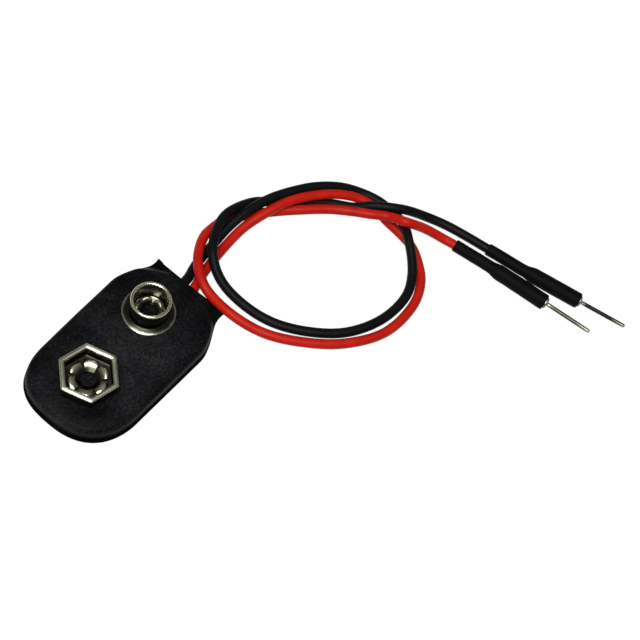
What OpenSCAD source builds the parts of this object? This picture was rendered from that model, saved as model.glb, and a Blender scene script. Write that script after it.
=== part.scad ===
// Battery snap with two leads that end in pins, in millimetres
// X runs from the rounded end to the mouth, Z is up through the contacts, z = 0 is the back face

/* [Cover] */
// Length of the cover, rounded end to mouth
cover_l = 27.2; // [26.6:0.1:30]
// Width of the cover at its widest, beside the stud
cover_w = 16; // [15.8:0.1:18]
// Width of the cover at its rounded end
tail_w = 15.4; // [15:0.1:15.8]
// Width of the mouth that the leads leave by
mouth_w = 11.3; // [9:0.1:12]
// Flare of the two ears at the mouth
ear_flare = 0.3; // [0:0.05:0.6]
// Thickness of the cover sheets
sheet_t = 0.5; // [0.4:0.05:0.7]
// Rounding of the front cover's rim
edge_r = 0.9; // [0.6:0.05:1]

/* [Contacts] */
// Distance between the two contacts
snap_pitch = 12.7; // [12.5:0.1:12.9]
// Turn of the contact board inside the cover, in degrees
board_skew = 4.1; // [0:0.1:5]
// Thickness of the contact board
board_t = 0.65; // [0.6:0.05:1]
// Diameter of the stud
stud_d = 5.4; // [5.2:0.05:5.8]
// Height of the stud above the cover
stud_h = 3.4; // [3:0.1:4]
// Diameter of the stud's flange
flange_d = 7.2; // [6.8:0.1:7.4]
// Width of the hexagonal socket over the flats of its rim
socket_af = 7.16; // [7.1:0.02:7.4]
// Height of the socket above the cover
socket_h = 2.4; // [2.2:0.1:3]
// Diameter of the socket's rolled rim
rim_d = 0.66; // [0.6:0.02:0.7]
// Turn of the hexagon about its own axis, in degrees
socket_yaw = 46.5; // [0:0.5:60]
// Outside diameter of the two rivets
rivet_d = 2.6; // [2.4:0.05:2.6]

/* [Leads] */
// Diameter of a lead over its insulation
lead_d = 1.4; // [1.2:0.02:1.4]
// Diameter of the bare strands
strand_d = 0.7; // [0.5:0.02:0.7]

/* [Pin ends] */
// Diameter of the round pins
pin_d = 0.54; // [0.5:0.02:0.64]
// Length of a pin past its barrel
pin_l = 7.3; // [6:0.1:9]
// Diameter of the solder barrel inside the sleeve
barrel_d = 1.76; // [1.6:0.02:1.8]
// Wall of the shrunk sleeves
sleeve_t = 0.2; // [0.15:0.01:0.22]
// Length of a sleeve over the barrel
sleeve_l = 9.6; // [8:0.1:11]

/* [Hidden] */
$fn = 64;

// Clearances, and how far a cut runs past the face that it opens
fit = 0.05;
nip = 0.02;
over = 1;

// Heights, from the table up
room = lead_d + 2 * fit;
board_z = sheet_t + room;
front_z = board_z + board_t;
top_z = front_z + sheet_t;
tag_t = 0.3;
tag_z = board_z - tag_t;
head_t = 0.35;
head_z = tag_z - head_t;
floor_t = 0.35;
floor_z = top_z + floor_t;
wire_z = sheet_t + room / 2;

// Plan of the cover
end_x = cover_l / 2;
tail_r = tail_w / 2;
tail_x = tail_r - end_x;
tail_full = 0.75;
tail_full_low = 0.15;
shoulder_l = 7.4;
side_x = end_x - shoulder_l;
ear_l = 1.6;
ear_past = 0.2;
mouth_dip = 0.4;
seam_in = 0.08;
wall_in = 0.25;
cave_in = wall_in + edge_r;

// Places of the contacts, from the middle of the rounded end
socket_back = 0.9;
socket_p = [tail_x - socket_back, 0];
stud_p = socket_p + snap_pitch * [cos(board_skew), sin(board_skew)];

// Contact board, with a gap to the cover's cave all round
board_gap = 0.25;
board_end = 3.9;
board_r = tail_r - cave_in - board_gap - socket_back;
board_in = 0.2;
cave_x = stud_p[0] + board_end + board_gap;
ramp_in = 0.4;
ramp_x = cave_x - ramp_in;

// Solder tags
tag_r = 2.5;
tag_l = 4;
tag_w = 2.2;

// Places of the leads' ends inside and of the leads at the mouth
red_bare = 0.2;
black_bare = 0.7;
red_reach = [tag_l + red_bare, -1];
black_reach = [tag_l + black_bare, 0.1];
red_end = socket_p + red_reach;
black_end = stud_p + black_reach;
mouth_out = 0.6;
red_side = -0.5;
black_side = 1;
red_mouth = [end_x + mouth_out, red_side];
black_mouth = [end_x + mouth_out, black_side];

// Passage that the leads leave by
pass_gap = 0.1;
pass_wide = 1.8;
pass_low = red_side - lead_d / 2 - pass_gap;
pass_high = black_side + lead_d / 2 + pass_gap;

// Hexagonal socket, as distances from its axis to the flats
rim_r = rim_d / 2;
rim_a = socket_af / 2 - rim_r;
neck_out = 0.16;
neck_in = 0.2;
wall_out = rim_a + neck_out;
wall_inn = rim_a - neck_in;
hex_corner = 0.3;
hex_bite = 0.1;

// Round stud: rolled lip, rounded flange edge and fillets
lip_r = 0.27;
flange_r = 0.18;
fillet_r = 0.3;
stud_inn = stud_d / 2 - 2 * lip_r;

// Rivets, whose petals lie inside the socket's walls and the stud's fillet
rivet_t = 0.25;
bore_r = rivet_d / 2 - rivet_t;
hole_r = rivet_d / 2 + fit;
head_r = 2.1;
socket_petal_gap = 0.43;
socket_petal_r = wall_inn - socket_petal_gap;
socket_petal_h = 0.62;
stud_petal_r = stud_inn - fillet_r - nip;
stud_petal_h = 0.55;
stud_petal_yaw = 20;
slot_w = 0.72;
slot_in = 0.12;
slot_up = 0.06;

// Solder joints under the tags' tails
joint_r = 0.9;
joint_side = 0.1;
joint_x = head_r + joint_r + joint_side;
joint_gap = 0.2;

// Pin ends: the sleeves lie on the table
sleeve_gap = 0.03;
sleeve_in = barrel_d / 2 + sleeve_gap;
sleeve_step = 0.4;
sleeve_n = 20;
pin_z = sleeve_in + sleeve_t + 0.01;
red_turn = -84.5;
black_turn = -79.3;
cup_gap = 0.1;
cup_r = strand_d / 2 + cup_gap;
cup_x = 0.7;
core_x = 0.08;
core_l = 3.4;
nose_out = 0.1;
nose_l = 0.34;

// Routes of the leads, chosen by hand for leads of the given diameter that lie on the table
route_d = 1.4;
low = (route_d - lead_d) / 2;
red_points = [
  [17.7, 0.3, 0.8], [25.9, 0.8, 0.9], [29.4, -0.1, 1.9], [33, -1.3, 2.4], [36.5, -3.1, 2.3],
  [39.8, -5.6, 2], [42.1, -8.1, 1.2], [42.8, -10.8, 0.9], [42.3, -13.3, 0.8], [42, -16, 0.8],
  [41.4, -18.6, 0.8], [39.8, -21, 0.8], [37.6, -23, 0.8], [33.8, -24.4, 0.8], [27.4, -24, 0.8],
  [22, -20.9, 0.8], [18.1, -16.6, 0.8], [15.3, -11.6, 0.8], [14.4, -6.2, 0.9], [14.3, -1.8, 2.5],
  [16.5, 1.3, 2.7], [20.5, 3.5, 1.8], [23, 3.8, 1.1], [25.3, 3.5, 0.8], [28.7, 1.5, 0.8],
  [31.8, -0.8, 0.8], [34.5, -3.4, 1.2], [37.2, -6.1, 1.4], [39.1, -8.8, 1.8], [40.4, -11.3, 2.4],
  [41.8, -13.4, 2.6], [42.2, -16.1, 3.7], [44.3, -18.5, 2.3], [45.9, -21.6, 1]
];
red_pin_points = [[46.1, -23.2], [46.9, -29]];
black_points = [
  [16.9, 1.7, 0.8], [20.9, 2.1, 0.8], [24.5, 2.2, 1.5], [27.9, 1.7, 2.3], [31.7, 0.8, 2.4],
  [35.3, -0.7, 2.2], [38.7, -2.7, 2], [41.6, -5.2, 1.5], [43.5, -7.8, 0.8], [44.2, -10.4, 0.8],
  [44.1, -13.1, 0.9], [42.7, -15.8, 2.1], [40.8, -18.1, 2.2], [39.1, -20, 1.7],
  [37.1, -21.6, 1.2], [34.1, -22.8, 1], [28.9, -22.5, 0.8], [23.5, -20, 0.8], [19.7, -15.9, 0.8],
  [17.3, -11.1, 0.8], [16.8, -5.9, 0.8], [17.4, -2.1, 1.3], [19, 0.7, 2.5], [22.4, 2.8, 2.5],
  [24.5, 3.4, 2.5], [26.6, 3.4, 2.2], [30.7, 2.2, 1.2], [33.5, -0.4, 0.8], [36.2, -3, 0.8],
  [38.7, -5.7, 0.8], [40.4, -8.5, 1.1], [41.9, -10.6, 2.2], [43.2, -12.7, 2.7],
  [44.8, -14.8, 2.5], [46.9, -17.2, 1.2], [48.3, -20.6, 0.8]
];
black_pin_points = [[49.2, -27.2], [50, -32.8]];

function at(p, z) = [p[0], p[1], z];
function lowered(points) = [for (p = points) [p[0], p[1], p[2] - low]];
red_route = concat(
  [at(red_end, wire_z), at([4, -2.9], wire_z), at([9.5, -1.7], wire_z), at(red_mouth, wire_z)],
  lowered(red_points),
  [for (p = red_pin_points) at(p, pin_z)]
);
black_route = concat(
  [at(black_end, wire_z), at(black_mouth, wire_z)],
  lowered(black_points),
  [for (p = black_pin_points) at(p, pin_z)]
);

// Small helpers
function mix(a, b, k) = a + (b - a) * k;
function ease(k) = k <= 0 ? 0 : k >= 1 ? 1 : k * k * (3 - 2 * k);
function unit(v) = v / norm(v);

// Half width of the cover at a place along it
function flare(x) = ear_flare * pow(max(0, (x - end_x + ear_l) / ear_l), 2);
function half_w(x) =
  x < tail_x ? sqrt(max(0, tail_r * tail_r - (x - tail_x) * (x - tail_x))) :
  x < side_x ? mix(tail_r, cover_w / 2, (x - tail_x) / (side_x - tail_x)) :
  mix(cover_w / 2, mouth_w / 2, ease((x - side_x) / (end_x + ear_past - side_x))) + flare(x);

// Places along one side of the cover, from the mouth to the start of the rounded end
side_n = 18;
side_xs = [for (i = [0 : side_n]) mix(end_x, tail_x, pow(i / side_n, 1.3))];
tail_n = 24;
tail_as = [for (i = [1 : tail_n - 1]) 90 + 180 * i / tail_n];

// How far the rounded end stands out past a true round, by the direction from its middle
function full(a) = (a < 180 ? tail_full : tail_full_low) * pow(sin(2 * (a - 90)), 2);

// Outline of the cover, drawn in by a given distance and cut off at a given place
function outline(inset, cut) = concat(
  [[cut, half_w(cut) - inset]],
  [for (x = side_xs) if (x < cut - nip) [x, half_w(x) - inset]],
  [for (a = tail_as) [tail_x, 0] + (tail_r + full(a) - inset) * [cos(a), sin(a)]],
  [for (i = [side_n : -1 : 0]) let (x = side_xs[i]) if (x < cut - nip) [x, inset - half_w(x)]],
  [[cut, inset - half_w(cut)]]
);

// Rings of the formed front cover, from its seam up to its face
ring_n = 7;
mouth_t = 0.45;
mouth_flat = 1.8;
mouth_roof = board_z + mouth_t;
function ramp(x) = ease((x - ramp_x) / (end_x - ramp_x));
function ring_in(k, x) = k == 0 ? 0 : mix(
  wall_in + edge_r * (1 - cos(90 * (k - 1) / (ring_n - 1))),
  (mouth_w / 2 - mouth_flat) * (k - 1) / (ring_n - 1),
  ramp(x)
);
function ring_z(k, x) = k == 0 ? sheet_t : mix(
  top_z - edge_r + edge_r * sin(90 * (k - 1) / (ring_n - 1)),
  mix(2 * sheet_t, mouth_roof, ease((k - 1) / (ring_n - 1))),
  ramp(x)
);
function dip(k, x) = k == 0 ? 0 :
  mouth_dip * ease((x - end_x + ear_l) / ear_l) * ease(2 * (k - 1) / (ring_n - 1));
function side(k, x, way) = [x - dip(k, x), way * (half_w(x) - ring_in(k, x)), ring_z(k, x)];
function tail(k, a) =
  at([tail_x, 0] + (tail_r + full(a) - ring_in(k, tail_x)) * [cos(a), sin(a)], ring_z(k, tail_x));
function ring(k) = concat(
  [for (x = side_xs) side(k, x, 1)],
  [for (a = tail_as) tail(k, a)],
  [for (i = [side_n : -1 : 0]) side(k, side_xs[i], -1)]
);
loop_n = 2 * (side_n + 1) + tail_n - 1;

// Rounded hexagon, by the distance to its flats
function hexagon(a, corner) = [
  for (c = [0 : 5])
  for (s = [-2 : 2])
  (a - corner) / cos(30) * [cos(60 * c), sin(60 * c)] + corner * [cos(60 * c + 15 * s), sin(60 * c + 15 * s)]
];

// Closed skin over rings that follow each other, where the last one joins the first
function skin_faces(n, m) = [
  for (k = [0 : n - 1])
  for (i = [0 : m - 1])
  each [
    [k * m + i, (k + 1) % n * m + i, (k + 1) % n * m + (i + 1) % m],
    [k * m + i, (k + 1) % n * m + (i + 1) % m, k * m + (i + 1) % m]
  ]
];

// Frames along a route: places round a point of it, square to its run
function run(p, i) = unit(p[min(i + 1, len(p) - 1)] - p[max(i - 1, 0)]);
function around(p, i, r, n) =
  let (t = run(p, i), u = unit(cross(t, [0, 0, 1])), v = cross(u, t))
  [for (s = [0 : n - 1]) p[i] + r * (cos(360 * (s + 0.5) / n) * u + sin(360 * (s + 0.5) / n) * v)];

module front_form() {
  points = [for (k = [0 : ring_n]) each ring(k)];
  walls = [
    for (k = [0 : ring_n - 1])
    for (i = [0 : loop_n - 2])
    each [
      [k * loop_n + i, k * loop_n + i + 1, (k + 1) * loop_n + i + 1],
      [k * loop_n + i, (k + 1) * loop_n + i + 1, (k + 1) * loop_n + i]
    ]
  ];
  top = ring_n * loop_n;
  cap = [
    for (i = [0 : floor(loop_n / 2) - 2])
    each [
      [top + i, top + i + 1, top + loop_n - 2 - i],
      [top + i, top + loop_n - 2 - i, top + loop_n - 1 - i]
    ]
  ];
  tip = floor(loop_n / 2);
  cap_end = [[top + tip - 1, top + tip, top + tip + 1]];
  mouth = [
    for (k = [0 : ring_n - 1])
    [k * loop_n, (k + 1) * loop_n, (k + 2) * loop_n - 1, (k + 1) * loop_n - 1]
  ];
  seam = [[for (i = [loop_n - 1 : -1 : 0]) i]];
  all_faces = concat(walls, cap, cap_end, mouth, seam);
  polyhedron(points, [for (f = all_faces) [for (i = [len(f) - 1 : -1 : 0]) f[i]]], convexity = 6);
}

// Clearance holes for both rivets through a sheet of a given height and thickness
module rivet_holes(z, t) {
  for (p = [socket_p, stud_p])
    translate(at(p, z - over))
    cylinder(r = hole_r, h = t + 2 * over);
}

module front_cover() color([0.09, 0.09, 0.1]) {
  difference() {
    front_form();
    linear_extrude(front_z)
      polygon(outline(cave_in, cave_x));
    linear_extrude(board_z)
      polygon([
        [ramp_x, pass_low - pass_wide],
        [end_x + over, pass_low],
        [end_x + over, pass_high],
        [ramp_x, pass_high + pass_wide]
      ]);
    rivet_holes(front_z, sheet_t);
  }
}

module back_cover() color([0.09, 0.09, 0.1]) {
  linear_extrude(sheet_t)
    polygon(outline(seam_in, end_x));
}

module contact_board() color([0.36, 0.24, 0.15]) {
  difference() {
    translate([0, 0, board_z])
      linear_extrude(board_t)
      union() {
        translate(socket_p)
          circle(r = board_r);
        translate(stud_p)
          circle(r = board_end);
        translate(socket_p)
          rotate(board_skew)
          polygon([
            [0, board_in - board_r],
            [snap_pitch, board_in - board_end],
            [snap_pitch, board_end - board_in],
            [0, board_r - board_in]
          ]);
      }
    rivet_holes(board_z, board_t);
  }
}

module socket_contact() color([0.78, 0.78, 0.74]) {
  arc = [for (i = [0 : 12]) -58 + 24.2 * i];
  rows = concat(
    [[wall_inn, 0], [wall_out, 0]],
    [for (a = arc) [rim_a + rim_r * cos(a), socket_h - rim_r + rim_r * sin(a)]]
  );
  rings = [for (q = rows) [for (h = hexagon(q[0], hex_corner)) at(h, q[1])]];
  translate(at(socket_p, top_z))
    rotate(socket_yaw) {
      polyhedron([for (q = rings) each q], skin_faces(len(rings), 30), convexity = 6);
      difference() {
        linear_extrude(floor_t)
          polygon(hexagon(wall_inn + hex_bite, hex_corner));
        translate([0, 0, -over])
          cylinder(r = hole_r, h = floor_t + 2 * over);
      }
    }
}

module stud_contact() color([0.78, 0.78, 0.74]) {
  foot = [flange_d / 2 - flange_r, flange_r];
  neck = [stud_d / 2 + fillet_r, 2 * flange_r + fillet_r];
  lip = [stud_d / 2 - lip_r, stud_h - lip_r];
  bowl = [stud_inn - fillet_r, floor_t + fillet_r];
  profile = concat(
    [[hole_r, 0]],
    [for (a = [-90 : 18 : 90]) foot + flange_r * [cos(a), sin(a)]],
    [for (a = [270 : -15 : 180]) neck + fillet_r * [cos(a), sin(a)]],
    [for (a = [0 : 15 : 180]) lip + lip_r * [cos(a), sin(a)]],
    [for (a = [0 : -15 : -90]) bowl + fillet_r * [cos(a), sin(a)]],
    [[hole_r, floor_t]]
  );
  translate(at(stud_p, top_z))
    rotate_extrude()
    polygon(profile);
}

// Tubular rivet: flat head below, end split into six petals above, out to a given radius
module rivet(out_r, up) {
  mid = (bore_r + out_r) / 2;
  wide = (out_r - bore_r) / 2;
  outer = [for (a = [180 : -15 : 0]) [mid + wide * cos(a), floor_z + up * sin(a)]];
  inner = [for (a = [0 : 15 : 180]) [mid + (wide - rivet_t) * cos(a), floor_z + (up - rivet_t) * sin(a)]];
  difference() {
    rotate_extrude()
      polygon(concat(
        [[bore_r, head_z]],
        outer,
        inner,
        [[bore_r + rivet_t, tag_z], [head_r, tag_z], [head_r, head_z]]
      ));
    for (i = [0 : 5])
      rotate(60 * i)
      translate([0, 0, floor_z + slot_up])
      linear_extrude(up + over)
      polygon([[bore_r + slot_in, 0], [out_r + slot_in, -slot_w / 2], [out_r + slot_in, slot_w / 2]]);
  }
}

module socket_rivet() color([0.82, 0.8, 0.72]) {
  translate(socket_p)
    rotate(socket_yaw)
    rivet(socket_petal_r, socket_petal_h);
}

module stud_rivet() color([0.82, 0.8, 0.72]) {
  translate(stud_p)
    rotate(stud_petal_yaw)
    rivet(stud_petal_r, stud_petal_h);
}

// Solder tag: ring under the rivet with a tail towards its lead
module tag(turn) {
  translate([0, 0, tag_z])
    rotate(turn)
    difference() {
      linear_extrude(tag_t)
        union() {
          circle(r = tag_r);
          translate([0, -tag_w / 2])
            square([tag_l, tag_w]);
        }
      translate([0, 0, -over])
        cylinder(r = hole_r, h = tag_t + 2 * over);
    }
}

red_tail = red_end - socket_p;
black_tail = black_end - stud_p;
red_tag_turn = atan2(red_tail[1], red_tail[0]);
black_tag_turn = atan2(black_tail[1], black_tail[0]);

module socket_tag() color([0.75, 0.62, 0.3]) {
  translate(socket_p)
    tag(red_tag_turn);
}

module stud_tag() color([0.75, 0.62, 0.3]) {
  translate(stud_p)
    tag(black_tag_turn);
}

// Bare strands that run from the insulation to under the tag's tail
module strands(reach, turn) {
  rotate(turn)
    translate([tag_r, 0, tag_z - strand_d / 2 - nip])
    rotate([0, 90, 0])
    cylinder(d = strand_d, h = reach - tag_r - nip);
}

module red_strands() color([0.8, 0.55, 0.35]) {
  translate(socket_p)
    strands(norm(red_tail), red_tag_turn);
}

module black_strands() color([0.8, 0.55, 0.35]) {
  translate(stud_p)
    strands(norm(black_tail), black_tag_turn);
}

// Solder joint that hangs under the tag's tail and holds the strands
module joint(turn) {
  deep = tag_z - sheet_t - joint_gap;
  rotate(turn)
    difference() {
      translate([joint_x, 0, tag_z])
        rotate_extrude()
        polygon([
          [0, -deep],
          [0.5 * joint_r, -0.9 * deep],
          [0.84 * joint_r, -0.6 * deep],
          [joint_r, 0],
          [0, 0]
        ]);
      translate([joint_x - joint_r, 0, tag_z - strand_d / 2 - nip])
        rotate([0, 90, 0])
        cylinder(d = strand_d + nip, h = 2 * joint_r + over);
    }
}

module socket_solder() color([0.7, 0.7, 0.72]) {
  translate(socket_p)
    joint(red_tag_turn);
}

module stud_solder() color([0.7, 0.7, 0.72]) {
  translate(stud_p)
    joint(black_tag_turn);
}

// Lead: one tube swept along its route
module lead(route) {
  n = len(route);
  points = [for (i = [0 : n - 1]) each around(route, i, lead_d / 2, 8)];
  sides = [
    for (k = [0 : n - 2])
    for (i = [0 : 7])
    [k * 8 + i, k * 8 + (i + 1) % 8, (k + 1) * 8 + (i + 1) % 8, (k + 1) * 8 + i]
  ];
  ends = [[for (i = [7 : -1 : 0]) i], [for (i = [0 : 7]) (n - 1) * 8 + i]];
  polyhedron(points, concat(sides, ends), convexity = 8);
}

module red_lead() color([0.78, 0.1, 0.07]) {
  lead(red_route);
}

module black_lead() color([0.07, 0.07, 0.07]) {
  lead(black_route);
}

// Shrunk sleeve: thin over the lead, wider over the barrel
module sleeve(points, turn) {
  a = at(points[0], pin_z);
  b = at(points[1], pin_z);
  ahead = [cos(turn), sin(turn), 0];
  thin = lead_d / 2 + sleeve_gap;
  path = [
    a,
    mix(a, b, 0.45),
    mix(a, b, 0.86),
    b + sleeve_step * ahead,
    b + 0.5 * sleeve_l * ahead,
    b + sleeve_l * ahead
  ];
  radii = [thin, thin, thin, sleeve_in, sleeve_in, sleeve_in];
  last = len(path) - 1;
  out = [for (i = [0 : last]) around(path, i, radii[i] + sleeve_t, sleeve_n)];
  inn = [for (i = [last : -1 : 0]) around(path, i, radii[i] / cos(180 / sleeve_n), sleeve_n)];
  rings = concat(out, inn);
  faces = [for (f = skin_faces(len(rings), sleeve_n)) [f[2], f[1], f[0]]];
  polyhedron([for (q = rings) each q], faces, convexity = 8);
}

module red_sleeve() color([0.06, 0.06, 0.06]) {
  sleeve(red_pin_points, red_turn);
}

module black_sleeve() color([0.06, 0.06, 0.06]) {
  sleeve(black_pin_points, black_turn);
}

module along_pin(points, turn) {
  translate(at(points[1], pin_z))
    rotate(turn)
    rotate([0, 90, 0])
    children();
}

// Tinned strand end that stands in the pin's solder cup
module core() {
  translate([0, 0, core_x])
    cylinder(d = strand_d, h = core_l);
}

module red_core() color([0.72, 0.7, 0.68]) {
  along_pin(red_pin_points, red_turn)
    core();
}

module black_core() color([0.72, 0.7, 0.68]) {
  along_pin(black_pin_points, black_turn)
    core();
}

// Turned pin: cup and barrel in the sleeve, a domed nose, then the round pin
module pin() {
  r = barrel_d / 2;
  p = pin_d / 2;
  nose = sleeve_l + nose_out;
  cup_l = core_x + core_l + nip;
  rotate_extrude()
    polygon(concat(
      [[0, cup_l], [cup_r, cup_l], [cup_r, cup_x], [r, cup_x], [r, nose]],
      [for (a = [15 : 15 : 75]) [p + (r - p) * cos(a), nose + nose_l * sin(a)]],
      [[p, nose + nose_l], [p, nose + pin_l]],
      [for (a = [30 : 30 : 60]) [p * cos(a), nose + pin_l + 0.8 * p * sin(a)]],
      [[0, nose + pin_l + 0.8 * p]]
    ));
}

module red_pin() color([0.8, 0.8, 0.78]) {
  along_pin(red_pin_points, red_turn)
    pin();
}

module black_pin() color([0.8, 0.8, 0.78]) {
  along_pin(black_pin_points, black_turn)
    pin();
}

front_cover();
back_cover();
contact_board();
socket_contact();
stud_contact();
socket_rivet();
stud_rivet();
socket_tag();
stud_tag();
socket_solder();
stud_solder();
red_strands();
black_strands();
red_lead();
black_lead();
red_sleeve();
black_sleeve();
red_core();
black_core();
red_pin();
black_pin();
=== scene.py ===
import math
import bmesh
import bpy
from mathutils import Euler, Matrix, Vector, noise


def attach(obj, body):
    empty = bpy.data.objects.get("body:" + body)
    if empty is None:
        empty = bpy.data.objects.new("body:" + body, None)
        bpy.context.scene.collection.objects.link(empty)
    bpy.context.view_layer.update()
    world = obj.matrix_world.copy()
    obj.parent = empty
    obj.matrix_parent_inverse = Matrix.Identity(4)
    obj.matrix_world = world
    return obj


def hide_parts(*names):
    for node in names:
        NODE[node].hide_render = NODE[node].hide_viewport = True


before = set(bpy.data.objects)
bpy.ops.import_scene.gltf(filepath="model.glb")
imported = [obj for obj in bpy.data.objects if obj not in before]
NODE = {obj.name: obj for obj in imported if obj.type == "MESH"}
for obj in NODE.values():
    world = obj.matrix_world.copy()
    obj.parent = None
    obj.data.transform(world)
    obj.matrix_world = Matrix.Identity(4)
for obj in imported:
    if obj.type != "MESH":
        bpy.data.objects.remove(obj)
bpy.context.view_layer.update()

MM = 0.001
deg = math.radians

# Driving sizes in millimetres and angles, the same as in the part's source
COVER_L, COVER_W, TAIL_W, MOUTH_W, SHOULDER_L = 27.2, 16.0, 15.4, 11.3, 7.4
EAR_FLARE, EAR_L, EAR_PAST = 0.3, 1.6, 0.2
TAIL_FULL, TAIL_FULL_LOW = 0.75, 0.15
MOUTH_DIP, MOUTH_T, MOUTH_FLAT = 0.4, 0.45, 1.8
SHEET_T, EDGE_R, WALL_IN, SEAM_IN = 0.5, 0.9, 0.25, 0.08
LEAD_D, STRAND_D, FIT = 1.4, 0.7, 0.05
BOARD_T, TAG_T, HEAD_T, FLOOR_T = 0.65, 0.3, 0.35, 0.35
SNAP_PITCH, SKEW, SOCKET_BACK, RAMP_PAST = 12.7, deg(4.1), 0.9, 3.75
SOCKET_AF, SOCKET_H, SOCKET_YAW, RIM_D = 7.16, 2.4, deg(46.5), 0.66
NECK_OUT, NECK_IN, HEX_CORNER = 0.16, 0.2, 0.3
STUD_D, STUD_H, FLANGE_D, FILLET_R = 5.4, 3.4, 7.2, 0.3
RIVET_D, RIVET_T, HEAD_R, SLOT_W, SLOT_IN = 2.6, 0.25, 2.1, 0.72, 0.12
RED_SIDE, BLACK_SIDE, PASS_GAP = -0.5, 1.0, 0.1
BARREL_D, SLEEVE_T, SLEEVE_L, SLEEVE_GAP, TABLE_GAP = 1.76, 0.2, 9.6, 0.03, 0.01
NOSE_OUT, CUP_GAP, CUP_X = 0.1, 0.1, 0.7
RED_TURN, BLACK_TURN = deg(-84.5), deg(-79.3)

# Heights that follow from those sizes
BOARD_Z = SHEET_T + LEAD_D + 2 * FIT
TOP_Z = BOARD_Z + BOARD_T + SHEET_T
FLOOR_Z = TOP_Z + FLOOR_T
TAG_Z = BOARD_Z - TAG_T
HEAD_Z = TAG_Z - HEAD_T
MOUTH_ROOF = BOARD_Z + MOUTH_T
BARREL_R = BARREL_D / 2
PIN_Z = BARREL_R + SLEEVE_GAP + SLEEVE_T + TABLE_GAP

# Places and radii that follow from those sizes
END_X = COVER_L / 2
TAIL_R = TAIL_W / 2
TAIL_X = TAIL_R - END_X
SIDE_X = END_X - SHOULDER_L
SOCKET = (TAIL_X - SOCKET_BACK, 0.0)
STUD = (SOCKET[0] + SNAP_PITCH * math.cos(SKEW), SOCKET[1] + SNAP_PITCH * math.sin(SKEW))
RAMP_X = STUD[0] + RAMP_PAST
PASS_LOW = RED_SIDE - LEAD_D / 2 - PASS_GAP
PASS_HIGH = BLACK_SIDE + LEAD_D / 2 + PASS_GAP
RIM_R = RIM_D / 2
RIM_A = SOCKET_AF / 2 - RIM_R
WALL_OUT, WALL_INN = RIM_A + NECK_OUT, RIM_A - NECK_IN
STUD_R, FLANGE_R = STUD_D / 2, FLANGE_D / 2
RIVET_R = RIVET_D / 2
BORE_R, HOLE_R = RIVET_R - RIVET_T, RIVET_R + FIT
CUP_R = STRAND_D / 2 + CUP_GAP
NOSE_AT = SLEEVE_L + NOSE_OUT

# Routes of the two leads in metres, the same points as in the part's source
RED_ROUTE = [
    (-0.0026, -0.001, 0.00125), (0.004, -0.0029, 0.00125), (0.0095, -0.0017, 0.00125),
    (0.0142, -0.0005, 0.00125), (0.0177, 0.0003, 0.0008), (0.0259, 0.0008, 0.0009),
    (0.0294, -0.0001, 0.0019), (0.033, -0.0013, 0.0024), (0.0365, -0.0031, 0.0023),
    (0.0398, -0.0056, 0.002), (0.0421, -0.0081, 0.0012), (0.0428, -0.0108, 0.0009),
    (0.0423, -0.0133, 0.0008), (0.042, -0.016, 0.0008), (0.0414, -0.0186, 0.0008),
    (0.0398, -0.021, 0.0008), (0.0376, -0.023, 0.0008), (0.0338, -0.0244, 0.0008),
    (0.0274, -0.024, 0.0008), (0.022, -0.0209, 0.0008), (0.0181, -0.0166, 0.0008),
    (0.0153, -0.0116, 0.0008), (0.0144, -0.0062, 0.0009), (0.0143, -0.0018, 0.0025),
    (0.0165, 0.0013, 0.0027), (0.0205, 0.0035, 0.0018), (0.023, 0.0038, 0.0011),
    (0.0253, 0.0035, 0.0008), (0.0287, 0.0015, 0.0008), (0.0318, -0.0008, 0.0008),
    (0.0345, -0.0034, 0.0012), (0.0372, -0.0061, 0.0014), (0.0391, -0.0088, 0.0018),
    (0.0404, -0.0113, 0.0024), (0.0418, -0.0134, 0.0026), (0.0422, -0.0161, 0.0037),
    (0.0443, -0.0185, 0.0023), (0.0459, -0.0216, 0.001), (0.0461, -0.0232, 0.00112),
    (0.0469, -0.029, 0.00112),
]
BLACK_ROUTE = [
    (0.0105675, 0.001008, 0.00125), (0.0142, 0.001, 0.00125), (0.0169, 0.0017, 0.0008),
    (0.0209, 0.0021, 0.0008), (0.0245, 0.0022, 0.0015), (0.0279, 0.0017, 0.0023),
    (0.0317, 0.0008, 0.0024), (0.0353, -0.0007, 0.0022), (0.0387, -0.0027, 0.002),
    (0.0416, -0.0052, 0.0015), (0.0435, -0.0078, 0.0008), (0.0442, -0.0104, 0.0008),
    (0.0441, -0.0131, 0.0009), (0.0427, -0.0158, 0.0021), (0.0408, -0.0181, 0.0022),
    (0.0391, -0.02, 0.0017), (0.0371, -0.0216, 0.0012), (0.0341, -0.0228, 0.001),
    (0.0289, -0.0225, 0.0008), (0.0235, -0.02, 0.0008), (0.0197, -0.0159, 0.0008),
    (0.0173, -0.0111, 0.0008), (0.0168, -0.0059, 0.0008), (0.0174, -0.0021, 0.0013),
    (0.019, 0.0007, 0.0025), (0.0224, 0.0028, 0.0025), (0.0245, 0.0034, 0.0025),
    (0.0266, 0.0034, 0.0022), (0.0307, 0.0022, 0.0012), (0.0335, -0.0004, 0.0008),
    (0.0362, -0.003, 0.0008), (0.0387, -0.0057, 0.0008), (0.0404, -0.0085, 0.0011),
    (0.0419, -0.0106, 0.0022), (0.0432, -0.0127, 0.0027), (0.0448, -0.0148, 0.0025),
    (0.0469, -0.0172, 0.0012), (0.0483, -0.0206, 0.0008), (0.0492, -0.0272, 0.00112),
    (0.05, -0.0328, 0.00112),
]

# Where each sleeve starts and where its pin's barrel starts: the last two points of the routes
RED_START, RED_BASE = [(x / MM, y / MM) for x, y, z in RED_ROUTE[-2:]]
BLACK_START, BLACK_BASE = [(x / MM, y / MM) for x, y, z in BLACK_ROUTE[-2:]]

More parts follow.
